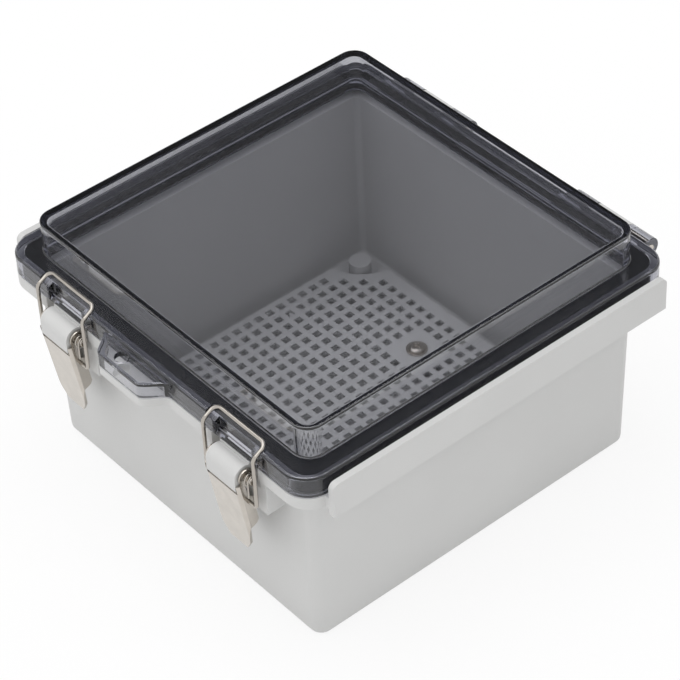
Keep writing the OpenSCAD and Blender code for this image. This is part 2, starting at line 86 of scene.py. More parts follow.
def add(tree, kind, values=None, links=None, **fields):
    """Adds a shader node with its fields, socket values and links."""
    made = tree.nodes.new("ShaderNode" + kind)
    for field, value in fields.items():
        setattr(made, field, value)
    for socket, value in (values or {}).items():
        made.inputs[socket].default_value = value
    for socket, source in (links or {}).items():
        tree.links.new(source, made.inputs[socket])
    return made


def new_material(name):
    """An empty node material and its output."""
    material = bpy.data.materials.new(name)
    material.use_nodes = True
    material.node_tree.nodes.clear()
    return material, material.node_tree, add(material.node_tree, "OutputMaterial")


def spread(tree, source, low, high):
    """A noise value, mostly between 0.3 and 0.7, stretched over a range."""
    return add(tree, "MapRange", {"From Min": 0.3, "From Max": 0.7, "To Min": low, "To Max": high},
               {"Value": source}).outputs["Result"]


def two_tone(tree, source, dark, light):
    """A colour that drifts between two tones."""
    mixed = add(tree, "Mix", links={"Factor": source}, data_type="RGBA")
    mixed.inputs[6].default_value = dark
    mixed.inputs[7].default_value = light
    return mixed.outputs[2]


def moulded_abs(name, colour):
    """Injection-moulded ABS: a satin skin with fine spark-eroded grain and a faint drift of tone."""
    material, tree, out = new_material(name)
    place = add(tree, "TexCoord").outputs["Object"]
    # the grain is about 0.3 mm in life and is drawn at 0.8 mm so that it shows
    grain = add(tree, "TexNoise", {"Scale": per_mm(0.8), "Detail": 3.0}, {"Vector": place}).outputs["Fac"]
    drift = add(tree, "TexNoise", {"Scale": per_mm(55), "Detail": 2.0}, {"Vector": place}).outputs["Fac"]
    tone = two_tone(tree, spread(tree, drift, 0, 1), shade(colour, 0.975), shade(colour, 1.02))
    bump = add(tree, "Bump", {"Strength": 0.06, "Distance": 0.05 * MM}, {"Height": grain})
    skin = add(tree, "BsdfPrincipled", {"IOR": 1.53},
               {"Base Color": tone, "Roughness": spread(tree, grain, 0.4, 0.52), "Normal": bump.outputs[0]})
    tree.links.new(skin.outputs[0], out.inputs["Surface"])
    return material


def smoke_polycarbonate(name, colour, density):
    """Moulded smoke polycarbonate: clear, glossy and tinted right through, so that edges go nearly black."""
    material, tree, out = new_material(name)
    place = add(tree, "TexCoord").outputs["Object"]
    haze = add(tree, "TexNoise", {"Scale": per_mm(30), "Detail": 2.0}, {"Vector": place}).outputs["Fac"]
    skin = add(tree, "BsdfPrincipled",
               {"Base Color": (1, 1, 1, 1), "IOR": 1.585, "Transmission Weight": 1.0},
               {"Roughness": spread(tree, haze, 0.015, 0.035)})
    # scattered light and the lamps' own rays go straight through, as through a thin pane
    path = add(tree, "LightPath").outputs
    scattered = add(tree, "Math", links={0: path["Is Shadow Ray"], 1: path["Is Diffuse Ray"]},
                    operation="MAXIMUM")
    clear = add(tree, "BsdfTransparent", {"Color": (1, 1, 1, 1)})
    mixed = add(tree, "MixShader", links={0: scattered.outputs[0], 1: skin.outputs[0], 2: clear.outputs[0]})
    tint = add(tree, "VolumeAbsorption", {"Color": (*colour, 1), "Density": density})
    tree.links.new(mixed.outputs[0], out.inputs["Surface"])
    tree.links.new(tint.outputs[0], out.inputs["Volume"])
    return material


def nickel_plated_steel(name, colour, stretch=(1, 1, 1), smooth=0.2, rough=0.26):
    """Nickel-plated pressed steel: warm white metal, satin from the press, with faint drawn streaks."""
    material, tree, out = new_material(name)
    place = add(tree, "TexCoord").outputs["Object"]
    drawn = add(tree, "Mapping", {"Scale": stretch}, {"Vector": place}).outputs["Vector"]
    # the press marks are a few hundredths wide in life and are drawn at 0.7 mm so that they show
    streak = add(tree, "TexNoise", {"Scale": per_mm(0.7), "Detail": 3.0}, {"Vector": drawn}).outputs["Fac"]
    cloud = add(tree, "TexNoise", {"Scale": per_mm(7), "Detail": 2.0}, {"Vector": place}).outputs["Fac"]
    tone = two_tone(tree, spread(tree, cloud, 0, 1), shade(colour, 0.93), shade(colour, 1.03))
    bump = add(tree, "Bump", {"Strength": 0.03, "Distance": 0.02 * MM}, {"Height": streak})
    skin = add(tree, "BsdfPrincipled", {"Metallic": 1.0},
               {"Base Color": tone, "Roughness": spread(tree, streak, smooth, rough),
                "Normal": bump.outputs[0]})
    tree.links.new(skin.outputs[0], out.inputs["Surface"])
    return material


def seal_rubber(name, colour):
    """Foamed sealing rubber: dark and matt, with a fine open skin."""
    material, tree, out = new_material(name)
    place = add(tree, "TexCoord").outputs["Object"]
    cells = add(tree, "TexNoise", {"Scale": per_mm(0.6), "Detail": 2.0}, {"Vector": place}).outputs["Fac"]
    tone = two_tone(tree, spread(tree, cells, 0, 1), shade(colour, 0.85), shade(colour, 1.15))
    bump = add(tree, "Bump", {"Strength": 0.15, "Distance": 0.05 * MM}, {"Height": cells})
    skin = add(tree, "BsdfPrincipled", {"IOR": 1.5, "Specular IOR Level": 0.2},
               {"Base Color": tone, "Roughness": spread(tree, cells, 0.75, 0.95), "Normal": bump.outputs[0]})
    tree.links.new(skin.outputs[0], out.inputs["Surface"])
    return material


# Modelling helpers

def only(*objs):
    """Leaves object mode with just these objects selected, the first of them active."""
    if bpy.context.object is not None and bpy.context.object.mode != "OBJECT":
        bpy.ops.object.mode_set(mode="OBJECT")
    bpy.ops.object.select_all(action="DESELECT")
    for obj in objs:
        obj.select_set(True)
    bpy.context.view_layer.objects.active = objs[0] if objs else None


def apply_modifier(obj, kind, **fields):
    """Adds a modifier to a piece and applies it."""
    only(obj)
    modifier = obj.modifiers.new(kind.title(), kind)
    for field, value in fields.items():
        setattr(modifier, field, value)
    bpy.ops.object.modifier_apply(modifier=modifier.name)


def round_edges(obj, width, segments=3, angle=60):
    """Rounds the edges of a piece that are sharper than an angle in degrees."""
    apply_modifier(obj, "BEVEL", width=width, segments=segments, limit_method="ANGLE",
                   angle_limit=math.radians(angle))


def smooth_faces(obj, angle=CREASE):
    """Smooth shading that stops at sharp edges and keeps flats flat."""
    only(obj)
    bpy.ops.object.shade_smooth_by_angle(angle=math.radians(angle))
    apply_modifier(obj, "WEIGHTED_NORMAL", keep_sharp=True, weight=80)


def merged_copy(node, name):
    """A copy of a CAD node with its loose triangles joined into whole faces."""
    mesh = frame["nodes"][node].data.copy()
    mesh.materials.clear()
    obj = bpy.data.objects.new(name, mesh)
    bpy.context.scene.collection.objects.link(obj)
    only(obj)
    bpy.ops.object.mode_set(mode="EDIT")
    bpy.ops.mesh.select_all(action="SELECT")
    bpy.ops.mesh.customdata_custom_splitnormals_clear()
    bpy.ops.mesh.remove_doubles(threshold=0.002 * MM)
    bpy.ops.mesh.dissolve_limited(angle_limit=math.radians(0.2))
    bpy.ops.object.mode_set(mode="OBJECT")
    return obj


def softened(node, name, width, segments=2):
    """A merged copy of a CAD node with its sharp edges rounded."""
    obj = merged_copy(node, name)
    round_edges(obj, width, segments, CREASE)
    smooth_faces(obj)
    return obj


def placed_copy(obj, name, step):
    """A copy of a piece with its own mesh, moved by a step."""
    twin = obj.copy()
    twin.data = obj.data.copy()
    twin.name = name
    bpy.context.scene.collection.objects.link(twin)
    only(twin)
    bpy.ops.transform.translate(value=step, orient_type="GLOBAL")
    bpy.ops.object.transform_apply(location=True, rotation=True, scale=True)
    return twin


def set_piece(obj, body, slot, material, *nodes):
    """Gives a finished piece its material and its body, and hides the CAD nodes that it stands for; the slot is
    not used.
    """
    obj.data.materials.clear()
    obj.data.materials.append(material)
    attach(obj, body)
    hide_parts(*nodes)


def draw_on(step):
    """Extrudes the selected ring by a step."""
    bpy.ops.mesh.extrude_region_move(
        TRANSFORM_OT_translate={"value": step, "orient_type": "GLOBAL"})


def wire_ring(name, place, along, radius, sides):
    """The first ring of a wire, in edit mode and selected."""
    only()
    bpy.ops.mesh.primitive_circle_add(vertices=sides, radius=radius, fill_type="NOTHING", location=place,
                                      rotation=along.to_track_quat("Z", "Y").to_euler())
    obj = bpy.context.object
    obj.name = name
    bpy.ops.object.transform_apply(location=True, rotation=True, scale=True)
    bpy.ops.object.mode_set(mode="EDIT")
    bpy.ops.mesh.select_all(action="SELECT")
    return obj


def close_wire(obj):
    """Caps the wire's ends and turns its faces outwards."""
    bpy.ops.mesh.select_all(action="SELECT")
    bpy.ops.mesh.fill_holes(sides=0)
    bpy.ops.mesh.select_all(action="SELECT")
    bpy.ops.mesh.normals_make_consistent(inside=False)
    bpy.ops.object.mode_set(mode="OBJECT")
    smooth_faces(obj, 50)


def bent_wire(name, corners, bends, radius, sides=20, steps=8):
    """Round wire drawn along straight runs and spun round each bend."""
    come = (corners[1] - corners[0]).normalized()
    obj = wire_ring(name, corners[0], come, radius, sides)
    here = corners[0]
    for before, corner, after, bend in zip(corners, corners[1:], corners[2:], bends):
        come, go = (corner - before).normalized(), (after - corner).normalized()
        turn = come.angle(go)
        setback = bend * math.tan(turn / 2)
        axis = come.cross(go).normalized()
        start = corner - come * setback
        draw_on(start - here)
        # spin turns against the right-hand rule
        bpy.ops.mesh.spin(steps=steps, angle=-turn, center=start + axis.cross(come) * bend, axis=axis)
        here = corner + go * setback
    draw_on(corners[-1] - here)
    close_wire(obj)
    return obj


def outline(half, radius, height, steps=10):
    """A level rounded square without a face."""
    only()
    bpy.ops.mesh.primitive_plane_add(size=2 * half, location=(0, 0, height))
    obj = bpy.context.object
    bpy.ops.object.transform_apply(location=True, rotation=True, scale=True)
    bpy.ops.object.mode_set(mode="EDIT")
    bpy.ops.mesh.select_all(action="SELECT")
    bpy.ops.mesh.bevel(affect="VERTICES", offset_type="OFFSET", offset=radius, segments=steps, profile=0.5)
    bpy.ops.mesh.delete(type="ONLY_FACE")
    bpy.ops.object.mode_set(mode="OBJECT")
    return obj


def pick(obj, first, last):
    """Enters edit mode with a run of vertices selected."""
    only(obj)
    bpy.ops.object.mode_set(mode="EDIT")
    bpy.ops.mesh.select_mode(type="VERT")
    bpy.ops.mesh.select_all(action="DESELECT")
    bpy.ops.object.mode_set(mode="OBJECT")
    for vertex in obj.data.vertices[first:last]:
        vertex.select = True
    bpy.ops.object.mode_set(mode="EDIT")


def lofted(name, rings):
    """A closed skin through level rounded squares, each with its corner axis, its radius and its height."""
    # the rings are bridged well apart, because level ones can be joined back to front, and then put in place
    apart = 0.1
    heights = [apart * i for i in range(len(rings))]
    loops = [outline(axis + radius, radius, z) for (axis, radius, _), z in zip(rings, heights)]
    obj = loops[0]
    obj.name = name
    count = len(obj.data.vertices)
    for loop in loops[1:]:
        only(obj, loop)
        bpy.ops.object.join()
        total = len(obj.data.vertices)
        pick(obj, total - 2 * count, total)
        bpy.ops.mesh.bridge_edge_loops()
    for i, (_, _, height) in enumerate(rings):
        pick(obj, i * count, (i + 1) * count)
        bpy.ops.transform.translate(value=(0, 0, height - heights[i]), orient_type="GLOBAL")
    bpy.ops.object.mode_set(mode="OBJECT")
    if any(len({v % count for v in face.vertices}) != 2 for face in obj.data.polygons):
        raise RuntimeError(name + " was bridged askew")
    for first in (0, total - count):
        pick(obj, first, first + count)
        bpy.ops.mesh.edge_face_add()
    bpy.ops.mesh.select_all(action="SELECT")
    bpy.ops.mesh.normals_make_consistent(inside=False)
    bpy.ops.object.mode_set(mode="OBJECT")
    return obj


def bend(axis, radius, height, size, start, end, steps=4):
    """Rings round a bend of a section, from one angle to another."""
    angles = [math.radians(start + (end - start) * i / steps) for i in range(steps + 1)]
    return [(axis, radius + size * math.cos(a), height + size * math.sin(a)) for a in angles]


def block(low, high, turn=0.0, about=None):
    """A box between two corners, turned about an X axis through a point."""
    only()
    bpy.ops.mesh.primitive_cube_add(size=1, location=(low + high) / 2)
    obj = bpy.context.object
    obj.scale = high - low
    bpy.ops.object.transform_apply(location=True, rotation=True, scale=True)
    if turn:
        obj.matrix_world = (Matrix.Translation(about) @ Matrix.Rotation(turn, 4, "X")
                            @ Matrix.Translation(-about))
        bpy.ops.object.transform_apply(location=True, rotation=True, scale=True)
    return obj


def round_bar(middle, radius, length, direction="X", edge=0.0):
    """A cylinder along an axis, with its end edges rounded if asked."""
    only()
    turn = (0, math.pi / 2, 0) if direction == "X" else (0, 0, 0)
    bpy.ops.mesh.primitive_cylinder_add(vertices=64, radius=radius, depth=length, location=middle,
                                        rotation=turn)
    obj = bpy.context.object
    bpy.ops.object.transform_apply(location=True, rotation=True, scale=True)
    if edge:
        round_edges(obj, edge)
    return obj


def combine(obj, other, operation):
    """Adds a solid to a piece or cuts it away."""
    apply_modifier(obj, "BOOLEAN", object=other, operation=operation, solver="EXACT")
    bpy.data.objects.remove(other, do_unlink=True)


# Sizes and colours that a user may change

class JunctionBoxSizes(bpy.types.PropertyGroup):
    """Sizes of the dressed details"""
    body_edge: bpy.props.FloatProperty(
        name="Body edge", description="Rounding of the grey moulding's edges",
        default=0.5 * MM, min=0.1 * MM, max=1 * MM, unit="LENGTH", precision=5)
    lid_edge: bpy.props.FloatProperty(
        name="Lid edge", description="Rounding of the edges of the smoke moulding and its seal strip",
        default=0.4 * MM, min=0.1 * MM, max=1 * MM, unit="LENGTH", precision=5)
    steel_edge: bpy.props.FloatProperty(
        name="Steel edge", description="Rounding of the pressed steel's edges",
        default=0.2 * MM, min=0.05 * MM, max=0.4 * MM, unit="LENGTH", precision=5)
    bail_wire: bpy.props.FloatProperty(
        name="Bail wire", description="Diameter of the bail wire",
        default=1.8 * MM, min=1 * MM, max=3 * MM, unit="LENGTH", precision=5)
    spring_wire: bpy.props.FloatProperty(
        name="Spring wire", description="Diameter of the spring wire",
        default=0.8 * MM, min=0.4 * MM, max=1 * MM, unit="LENGTH", precision=5)
    tint: bpy.props.FloatProperty(
        name="Lid tint", description="How strongly the smoke moulding takes light, per metre",
        default=104.0, min=0.0, max=1000.0)


class JunctionBoxColours(bpy.types.PropertyGroup):
    """Colours of the finishes, in linear light"""
    body: bpy.props.FloatVectorProperty(
        name="Body", description="Grey ABS of the body", subtype="COLOR", size=3, min=0, max=1,
        default=linear("#cbcbca"))
    plate: bpy.props.FloatVectorProperty(
        name="Plate", description="Grey ABS of the mounting plate", subtype="COLOR", size=3, min=0, max=1,
        default=linear("#cccccb"))
    smoke: bpy.props.FloatVectorProperty(
        name="Smoke", description="Light that the smoke lid lets through", subtype="COLOR", size=3,
        min=0, max=1, default=linear("#3b4474"))
    nickel: bpy.props.FloatVectorProperty(
        name="Nickel", description="Nickel plating", subtype="COLOR", size=3, min=0, max=1,
        default=linear("#c6c0b8"))
    rubber: bpy.props.FloatVectorProperty(
        name="Rubber", description="Seal strip", subtype="COLOR", size=3, min=0, max=1,
        default=linear("#212225"))


class JunctionBoxStudio(bpy.types.PropertyGroup):
    """Camera and light"""
    azimuth: bpy.props.FloatProperty(
        name="Azimuth", description="Turn of the camera round the box", default=math.radians(51.722),
        subtype="ANGLE", unit="ROTATION")
    elevation: bpy.props.FloatProperty(
        name="Elevation", description="Height of the camera over the horizon", default=math.radians(41.495),
        subtype="ANGLE", unit="ROTATION")
    roll: bpy.props.FloatProperty(
        name="Roll", description="Turn of the camera about its own axis", default=math.radians(-3.208),
        subtype="ANGLE", unit="ROTATION")
    distance: bpy.props.FloatProperty(
        name="Distance", description="Distance of the camera from the box", default=1.234136, unit="LENGTH")
    across: bpy.props.FloatProperty(
        name="Across", description="How far the box stands right of the middle of the view",
        default=1.850 * MM, unit="LENGTH", precision=5)
    upward: bpy.props.FloatProperty(
        name="Upward", description="How far the box stands above the middle of the view",
        default=-40.706 * MM, unit="LENGTH", precision=5)
    lens: bpy.props.FloatProperty(
        name="Lens", description="Focal length on a 36 mm sensor", default=146.52, unit="CAMERA")
    sky: bpy.props.FloatProperty(
        name="Sky", description="Light of the surroundings", default=0.88, min=0, max=2)
    key: bpy.props.FloatProperty(
        name="Key", description="Power of the soft panel in watts", default=8.0, min=0, max=50)
    strip: bpy.props.FloatProperty(
        name="Strip", description="Power of the strip behind the box in watts", default=5.0, min=0, max=50)


# Operators

class JUNCTIONBOX_OT_body(bpy.types.Operator):
    """Models the grey body from its CAD solid, with rounded edges"""
    bl_idname = "junctionbox.body"
    bl_label = "Body"

    def execute(self, context):
        scene = context.scene
        body = softened("base_body", "grey_body", scene.box_sizes.body_edge)
        set_piece(body, "base", "abs_grey", moulded_abs("moulded_grey_abs", scene.box_colours.body),
                  "base_body")
        return {"FINISHED"}


class LidSection:
    """Measures of the lid's section, which the lid and its seal strip share"""
    seam, flange, top = 93.5 * MM, 103.5 * MM, 119.4 * MM
    wall, skirt = 3 * MM, 4 * MM
    rim_axis, rim_radius, rim_bend = 88 * MM, 12 * MM, 1.5 * MM
    dome_axis, dome_radius, dome_bend = 82 * MM, 8 * MM, 0.6 * MM
    rib_axis, rib_radius, rib_low = 80.5 * MM, 9.2 * MM, 97.3 * MM
    crease = 24  # degrees: clear plastic shows bent shading sooner than grey


class JUNCTIONBOX_OT_lid(LidSection, bpy.types.Operator):
    """Models the smoke lid with its hinge knuckles, its lock tab and the pockets under the bails"""
    bl_idname = "junctionbox.lid"
    bl_label = "Lid"
    hinge_x, knuckle_x, knuckle_half, knuckle_radius = 56.7 * MM, 16.5 * MM, 6.5 * MM, 5 * MM
    arm_root, arm_top = 99 * MM, 97.45 * MM
    pin_hole, pin_run = 2.05 * MM, 50 * MM
    front = -100 * MM
    tab_middle, tab_reach, tab_wide, tab_narrow = -7.2 * MM, 9.5 * MM, 22.8 * MM, 12.5 * MM
    tab_taper = 1.3  # how much faster the hollow narrows than it shortens
    tab_top, tab_roof, tab_wall = 100.8 * MM, 98.4 * MM, 2 * MM
    lock_middle, lock_hole, lock_run = Vector((-11.6, -103.8, 98)) * MM, 3.2 * MM, 30 * MM
    pocket_half, pocket_low, pocket_high = 11.5 * MM, 94.5 * MM, 105 * MM
    pocket_front, pocket_back, pocket_slope = -101 * MM, -97.4 * MM, (0, 6, -2.6)
    relief_foot, relief_turn = Vector((0, -102.7, 100.7)) * MM, math.atan2(4, 7.2)
    relief_near, relief_far = Vector((-17.3, -1.8, -1.2)) * MM, Vector((17.3, 8.8, 6)) * MM

    def execute(self, context):
        scene = context.scene
        self.soft = scene.box_sizes.lid_edge
        lid = lofted("smoke_lid", self.section())
        for side in (-1, 1):
            hinge = Vector((side * self.hinge_x, HINGE_AXIS.y, HINGE_AXIS.z))
            for end in (-1, 1):
                combine(lid, self.knuckle(hinge + Vector((end * self.knuckle_x, 0, 0))), "UNION")
            combine(lid, round_bar(hinge, self.pin_hole, self.pin_run), "DIFFERENCE")
        combine(lid, self.tab(), "UNION")
        combine(lid, round_bar(self.lock_middle, self.lock_hole, self.lock_run, "Z"), "DIFFERENCE")
        for side in (-1, 1):
            self.cut_pocket(lid, side * LATCH_PIVOT.x)
        smooth_faces(lid, self.crease)
        set_piece(lid, "lid", "smoke_polycarbonate",
                  smoke_polycarbonate("smoke_polycarbonate", scene.box_colours.smoke, scene.box_sizes.tint),
                  "lid")
        return {"FINISHED"}

    def section(self):
        """Rings from the middle of the top over the dome, flange and skirt, then back up inside."""
        dome, rim, soft = self.dome_axis, self.rim_axis, self.soft
        flat = self.dome_radius - self.dome_bend
        crown = self.rim_radius - self.rim_bend
        inner = self.rim_radius - self.skirt
        inside = self.dome_radius - self.wall
        roof = self.flange - self.wall
        return [
            *bend(dome, flat, self.top - self.dome_bend, self.dome_bend, 90, 0, 8),
            *bend(dome, self.dome_radius + 2 * soft, self.flange + 2 * soft, 2 * soft, 180, 270),
            *bend(rim, crown, self.flange - self.rim_bend, self.rim_bend, 90, 0, 8),
            *bend(rim, self.rim_radius - soft, self.seam + soft, soft, 0, -90),
            *bend(rim, inner + soft, self.seam + soft, soft, 270, 180),
            (rim, inner, roof), (self.rib_axis, self.rib_radius, roof),
            *bend(self.rib_axis, self.rib_radius - soft, self.rib_low + soft, soft, 0, -90),
            *bend(dome, inside + soft, self.rib_low + soft, soft, 270, 180),
            *bend(dome, inside - soft, self.top - self.wall - soft, soft, 0, 90)]

    def knuckle(self, middle):
        """One hinge knuckle with the arm that joins it to the skirt."""
        half = self.knuckle_half
        eye = round_bar(middle, self.knuckle_radius, 2 * half, edge=self.soft)
        arm = block(Vector((middle.x - half, self.arm_root, self.seam)),
                    Vector((middle.x + half, middle.y, self.arm_top)))
        combine(eye, arm, "UNION")
        return eye

    def tab_block(self, root, inset, low, high, steps=12):
        """The lock tab's outline, drawn out row by row along its S-curve and pushed up."""
        middle, front, reach = self.tab_middle, self.front, self.tab_reach - inset
        wide, narrow = self.tab_wide - self.tab_taper * inset, self.tab_narrow - self.tab_taper * inset
        only()
        bpy.ops.mesh.primitive_plane_add(size=1, location=(middle, (root + front) / 2, low))
        obj = bpy.context.object
        obj.scale = (2 * wide, root - front, 1)
        bpy.ops.object.transform_apply(location=True, rotation=True, scale=True)
        here, width = front, wide
        for step in range(1, steps + 1):
            y = front - reach * (1 - math.cos(math.pi * step / steps)) / 2
            span = wide + (narrow - wide) * step / steps
            lowest = min(v.co.y for v in obj.data.vertices)
            rows = [v.index for v in obj.data.vertices if v.co.y < lowest + 1e-6]
            pick(obj, min(rows), max(rows) + 1)
            draw_on(Vector((0, y - here, 0)))
            bpy.ops.transform.resize(value=(span / width, 1, 1), center_override=(middle, y, low),
                                     orient_type="GLOBAL")
            bpy.ops.object.mode_set(mode="OBJECT")
            here, width = y, span
        bpy.ops.object.mode_set(mode="EDIT")
        bpy.ops.mesh.select_all(action="SELECT")
        draw_on(Vector((0, 0, high - low)))
        bpy.ops.mesh.select_all(action="SELECT")
        bpy.ops.mesh.normals_make_consistent(inside=False)
        bpy.ops.mesh.dissolve_limited(angle_limit=math.radians(0.1))
        bpy.ops.object.mode_set(mode="OBJECT")
        return obj

    def tab(self):
        """The lid's lock tab: a top plate with a wall down to the seam."""
        root = self.front + MM
        tab = self.tab_block(root, 0, self.seam, self.tab_top)
        round_edges(tab, self.soft)
        hollow = self.tab_block(root + MM, self.tab_wall, self.seam - MM, self.tab_roof)
        combine(tab, hollow, "DIFFERENCE")
        return tab

    def cut_pocket(self, lid, x):
        """Cuts the sloped pocket under a bail and the relief that clears its bends."""
        wedge = block(Vector((x - self.pocket_half, self.pocket_front, self.pocket_low)),
                      Vector((x + self.pocket_half, self.pocket_back, self.pocket_high)))
        only(wedge)
        bpy.ops.object.mode_set(mode="EDIT")
        bpy.ops.mesh.select_all(action="SELECT")
        bpy.ops.mesh.bisect(plane_co=(x, self.front, self.pocket_low), plane_no=self.pocket_slope,
                            use_fill=True, clear_outer=True)
        bpy.ops.object.mode_set(mode="OBJECT")
        combine(lid, wedge, "DIFFERENCE")
        foot = Vector((x, 0, 0)) + self.relief_foot
        combine(lid, block(foot + self.relief_near, foot + self.relief_far, self.relief_turn, foot),
                "DIFFERENCE")


class JUNCTIONBOX_OT_seal(LidSection, bpy.types.Operator):
    """Models the seal strip: it fills the lid's channel, and its outer lip hangs inside the skirt"""
    bl_idname = "junctionbox.seal"
    bl_label = "Seal strip"
    gap, lift, lip_radius = 0.15 * MM, 0.2 * MM, 6 * MM

    def execute(self, context):
        scene = context.scene
        soft = scene.box_sizes.lid_edge
        (_, _, under), (_, _, top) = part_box("lid_gasket")
        low, rim = self.seam + self.lift, self.rim_axis
        outer = self.rim_radius - self.skirt - self.gap - soft
        seal = lofted("seal_strip", [*bend(rim, outer, low + soft, soft, -90, 0),
                                     *bend(rim, outer, top - soft, soft, 0, 90)])
        inner = self.rib_radius + self.gap
        for name, axis, radius, roof in (("seal_bore", self.rib_axis, inner, top + MM),
                                         ("seal_groove", rim, self.lip_radius, under)):
            combine(seal, lofted(name, [(axis, radius, low - MM), (axis, radius, roof)]), "DIFFERENCE")
        smooth_faces(seal, self.crease)
        set_piece(seal, "lid", "seal_rubber", seal_rubber("foamed_seal_rubber", scene.box_colours.rubber),
                  "lid_gasket")
        return {"FINISHED"}


class JUNCTIONBOX_OT_plate(bpy.types.Operator):
    """Models the mounting plate with its grid of holes"""
    bl_idname = "junctionbox.plate"
    bl_label = "Mounting plate"
    edge = 0.2 * MM

    def execute(self, context):
        scene = context.scene
        plate = softened("mounting_plate", "grid_plate", self.edge, segments=1)
        set_piece(plate, "base", "plate_abs", moulded_abs("moulded_plate_abs", scene.box_colours.plate),
                  "mounting_plate")
        return {"FINISHED"}


class JUNCTIONBOX_OT_fasteners(bpy.types.Operator):
    """Models the screws and washers that hold the mounting plate"""
    bl_idname = "junctionbox.fasteners"
    bl_label = "Fasteners"
    edge = 0.15 * MM

    def execute(self, context):
        nickel = nickel_plated_steel("nickel_plated_fasteners", context.scene.box_colours.nickel)
        for node, name in (("plate_screws", "cross_screws"), ("plate_washers", "flat_washers")):
            set_piece(softened(node, name, self.edge), "base", "nickel_steel", nickel, node)
        return {"FINISHED"}


class JUNCTIONBOX_OT_pins(bpy.types.Operator):
    """Models the hinge pins and the latch pins with rounded ends"""
    bl_idname = "junctionbox.pins"
    bl_label = "Pins"
    edge = 0.3 * MM

    def execute(self, context):
        nickel = nickel_plated_steel("nickel_plated_pins", context.scene.box_colours.nickel)
        bodies = frame["record"]["behaviour"]["bodies"]
        for side in SIDES:
            for node in (f"hinge_pin_{side}", f"latch_pin_{side}"):
                pin = softened(node, node.replace("pin", "rod"), self.edge)
                body = next(name for name, nodes in bodies.items() if node in nodes)
                set_piece(pin, body, "nickel_steel", nickel, node)
        return {"FINISHED"}


class JUNCTIONBOX_OT_levers(bpy.types.Operator):
    """Models the two pressed levers"""
    bl_idname = "junctionbox.levers"
    bl_label = "Levers"
    streaks = (1, 1, 0.08)  # drawn out along the lever

    def execute(self, context):
        scene = context.scene
        nickel = nickel_plated_steel("nickel_plated_sheet", scene.box_colours.nickel, self.streaks)
        for side in SIDES:
            lever = softened(f"latch_lever_{side}", f"pressed_lever_{side}", scene.box_sizes.steel_edge)
            set_piece(lever, f"lever_{side}", "nickel_steel", nickel, f"latch_lever_{side}")
        return {"FINISHED"}


class JUNCTIONBOX_OT_bails(bpy.types.Operator):
    """Bends the two wire bails"""
    bl_idname = "junctionbox.bails"
    bl_label = "Bails"
    set_off, stub = 4 * MM, 9.3 * MM
    hook_bend, corner_bend = 1.7 * MM, 3.2 * MM

    def execute(self, context):
        scene = context.scene
        # the wire's nickel is drawn darker: painted shade for the dark surroundings that its round face would
        # reflect
        nickel = nickel_plated_steel("nickel_plated_wire", shade(scene.box_colours.nickel, WIRE_PAINTED_SHADE)[:3],
                                     smooth=0.06, rough=0.12)
        low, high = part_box("latch_bail_right")
        radius = scene.box_sizes.bail_wire / 2
        mid, half = BAIL_PIVOT.x, (high.x - low.x) / 2 - radius
        bar = Vector((mid, high.y - radius, high.z - radius))
        right = [Vector((half, bar.y, bar.z)), Vector((half, BAIL_PIVOT.y, bar.z - self.set_off)),
                 Vector((half, BAIL_PIVOT.y, BAIL_PIVOT.z)),
                 Vector((self.stub, BAIL_PIVOT.y, BAIL_PIVOT.z))]
        left = [Vector((-p.x, p.y, p.z)) for p in reversed(right)]
        corners = [p + Vector((mid, 0, 0)) for p in left + right]
        bends = [self.hook_bend] + 4 * [self.corner_bend] + [self.hook_bend]
        bail = bent_wire("wire_bail_right", corners, bends, radius)
        twin = placed_copy(bail, "wire_bail_left", LATCH_STEP)
        for side, obj in (("right", bail), ("left", twin)):
            set_piece(obj, f"bail_{side}", "nickel_steel", nickel, f"latch_bail_{side}")
        return {"FINISHED"}


class JUNCTIONBOX_OT_springs(bpy.types.Operator):
    """Winds the two torsion springs"""
    bl_idname = "junctionbox.springs"
    bl_label = "Springs"
    turn_steps, turns, wire_sides = 24, 1.5, 12

    def execute(self, context):
        scene = context.scene
        # the spring's nickel is drawn darker too: the same painted shade as on the bails
        steel = nickel_plated_steel("spring_steel", shade(scene.box_colours.nickel, WIRE_PAINTED_SHADE)[:3])
        low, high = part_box("latch_spring_right")
        radius = scene.box_sizes.spring_wire / 2
        coil_r = high.y - LATCH_PIVOT.y - radius
        start = Vector((low.x + radius, LATCH_PIVOT.y + coil_r, low.z + radius))
        arm = Vector((0, 0, LATCH_PIVOT.z - start.z))
        steps = round(self.turn_steps * self.turns)
        pitch = Vector(((high.x - low.x - 2 * radius) / steps, 0, 0))
        spring = wire_ring("torsion_spring_right", start, arm.normalized(), radius, self.wire_sides)
        draw_on(arm)
        for _ in range(steps):
            bpy.ops.mesh.spin(steps=1, angle=-math.tau / self.turn_steps, center=LATCH_PIVOT, axis=(1, 0, 0))
            bpy.ops.transform.translate(value=pitch, orient_type="GLOBAL")
        draw_on(-arm)
        close_wire(spring)
        twin = placed_copy(spring, "torsion_spring_left", LATCH_STEP)
        for side, obj in (("right", spring), ("left", twin)):
            set_piece(obj, "base", "nickel_steel", steel, f"latch_spring_{side}")
        return {"FINISHED"}


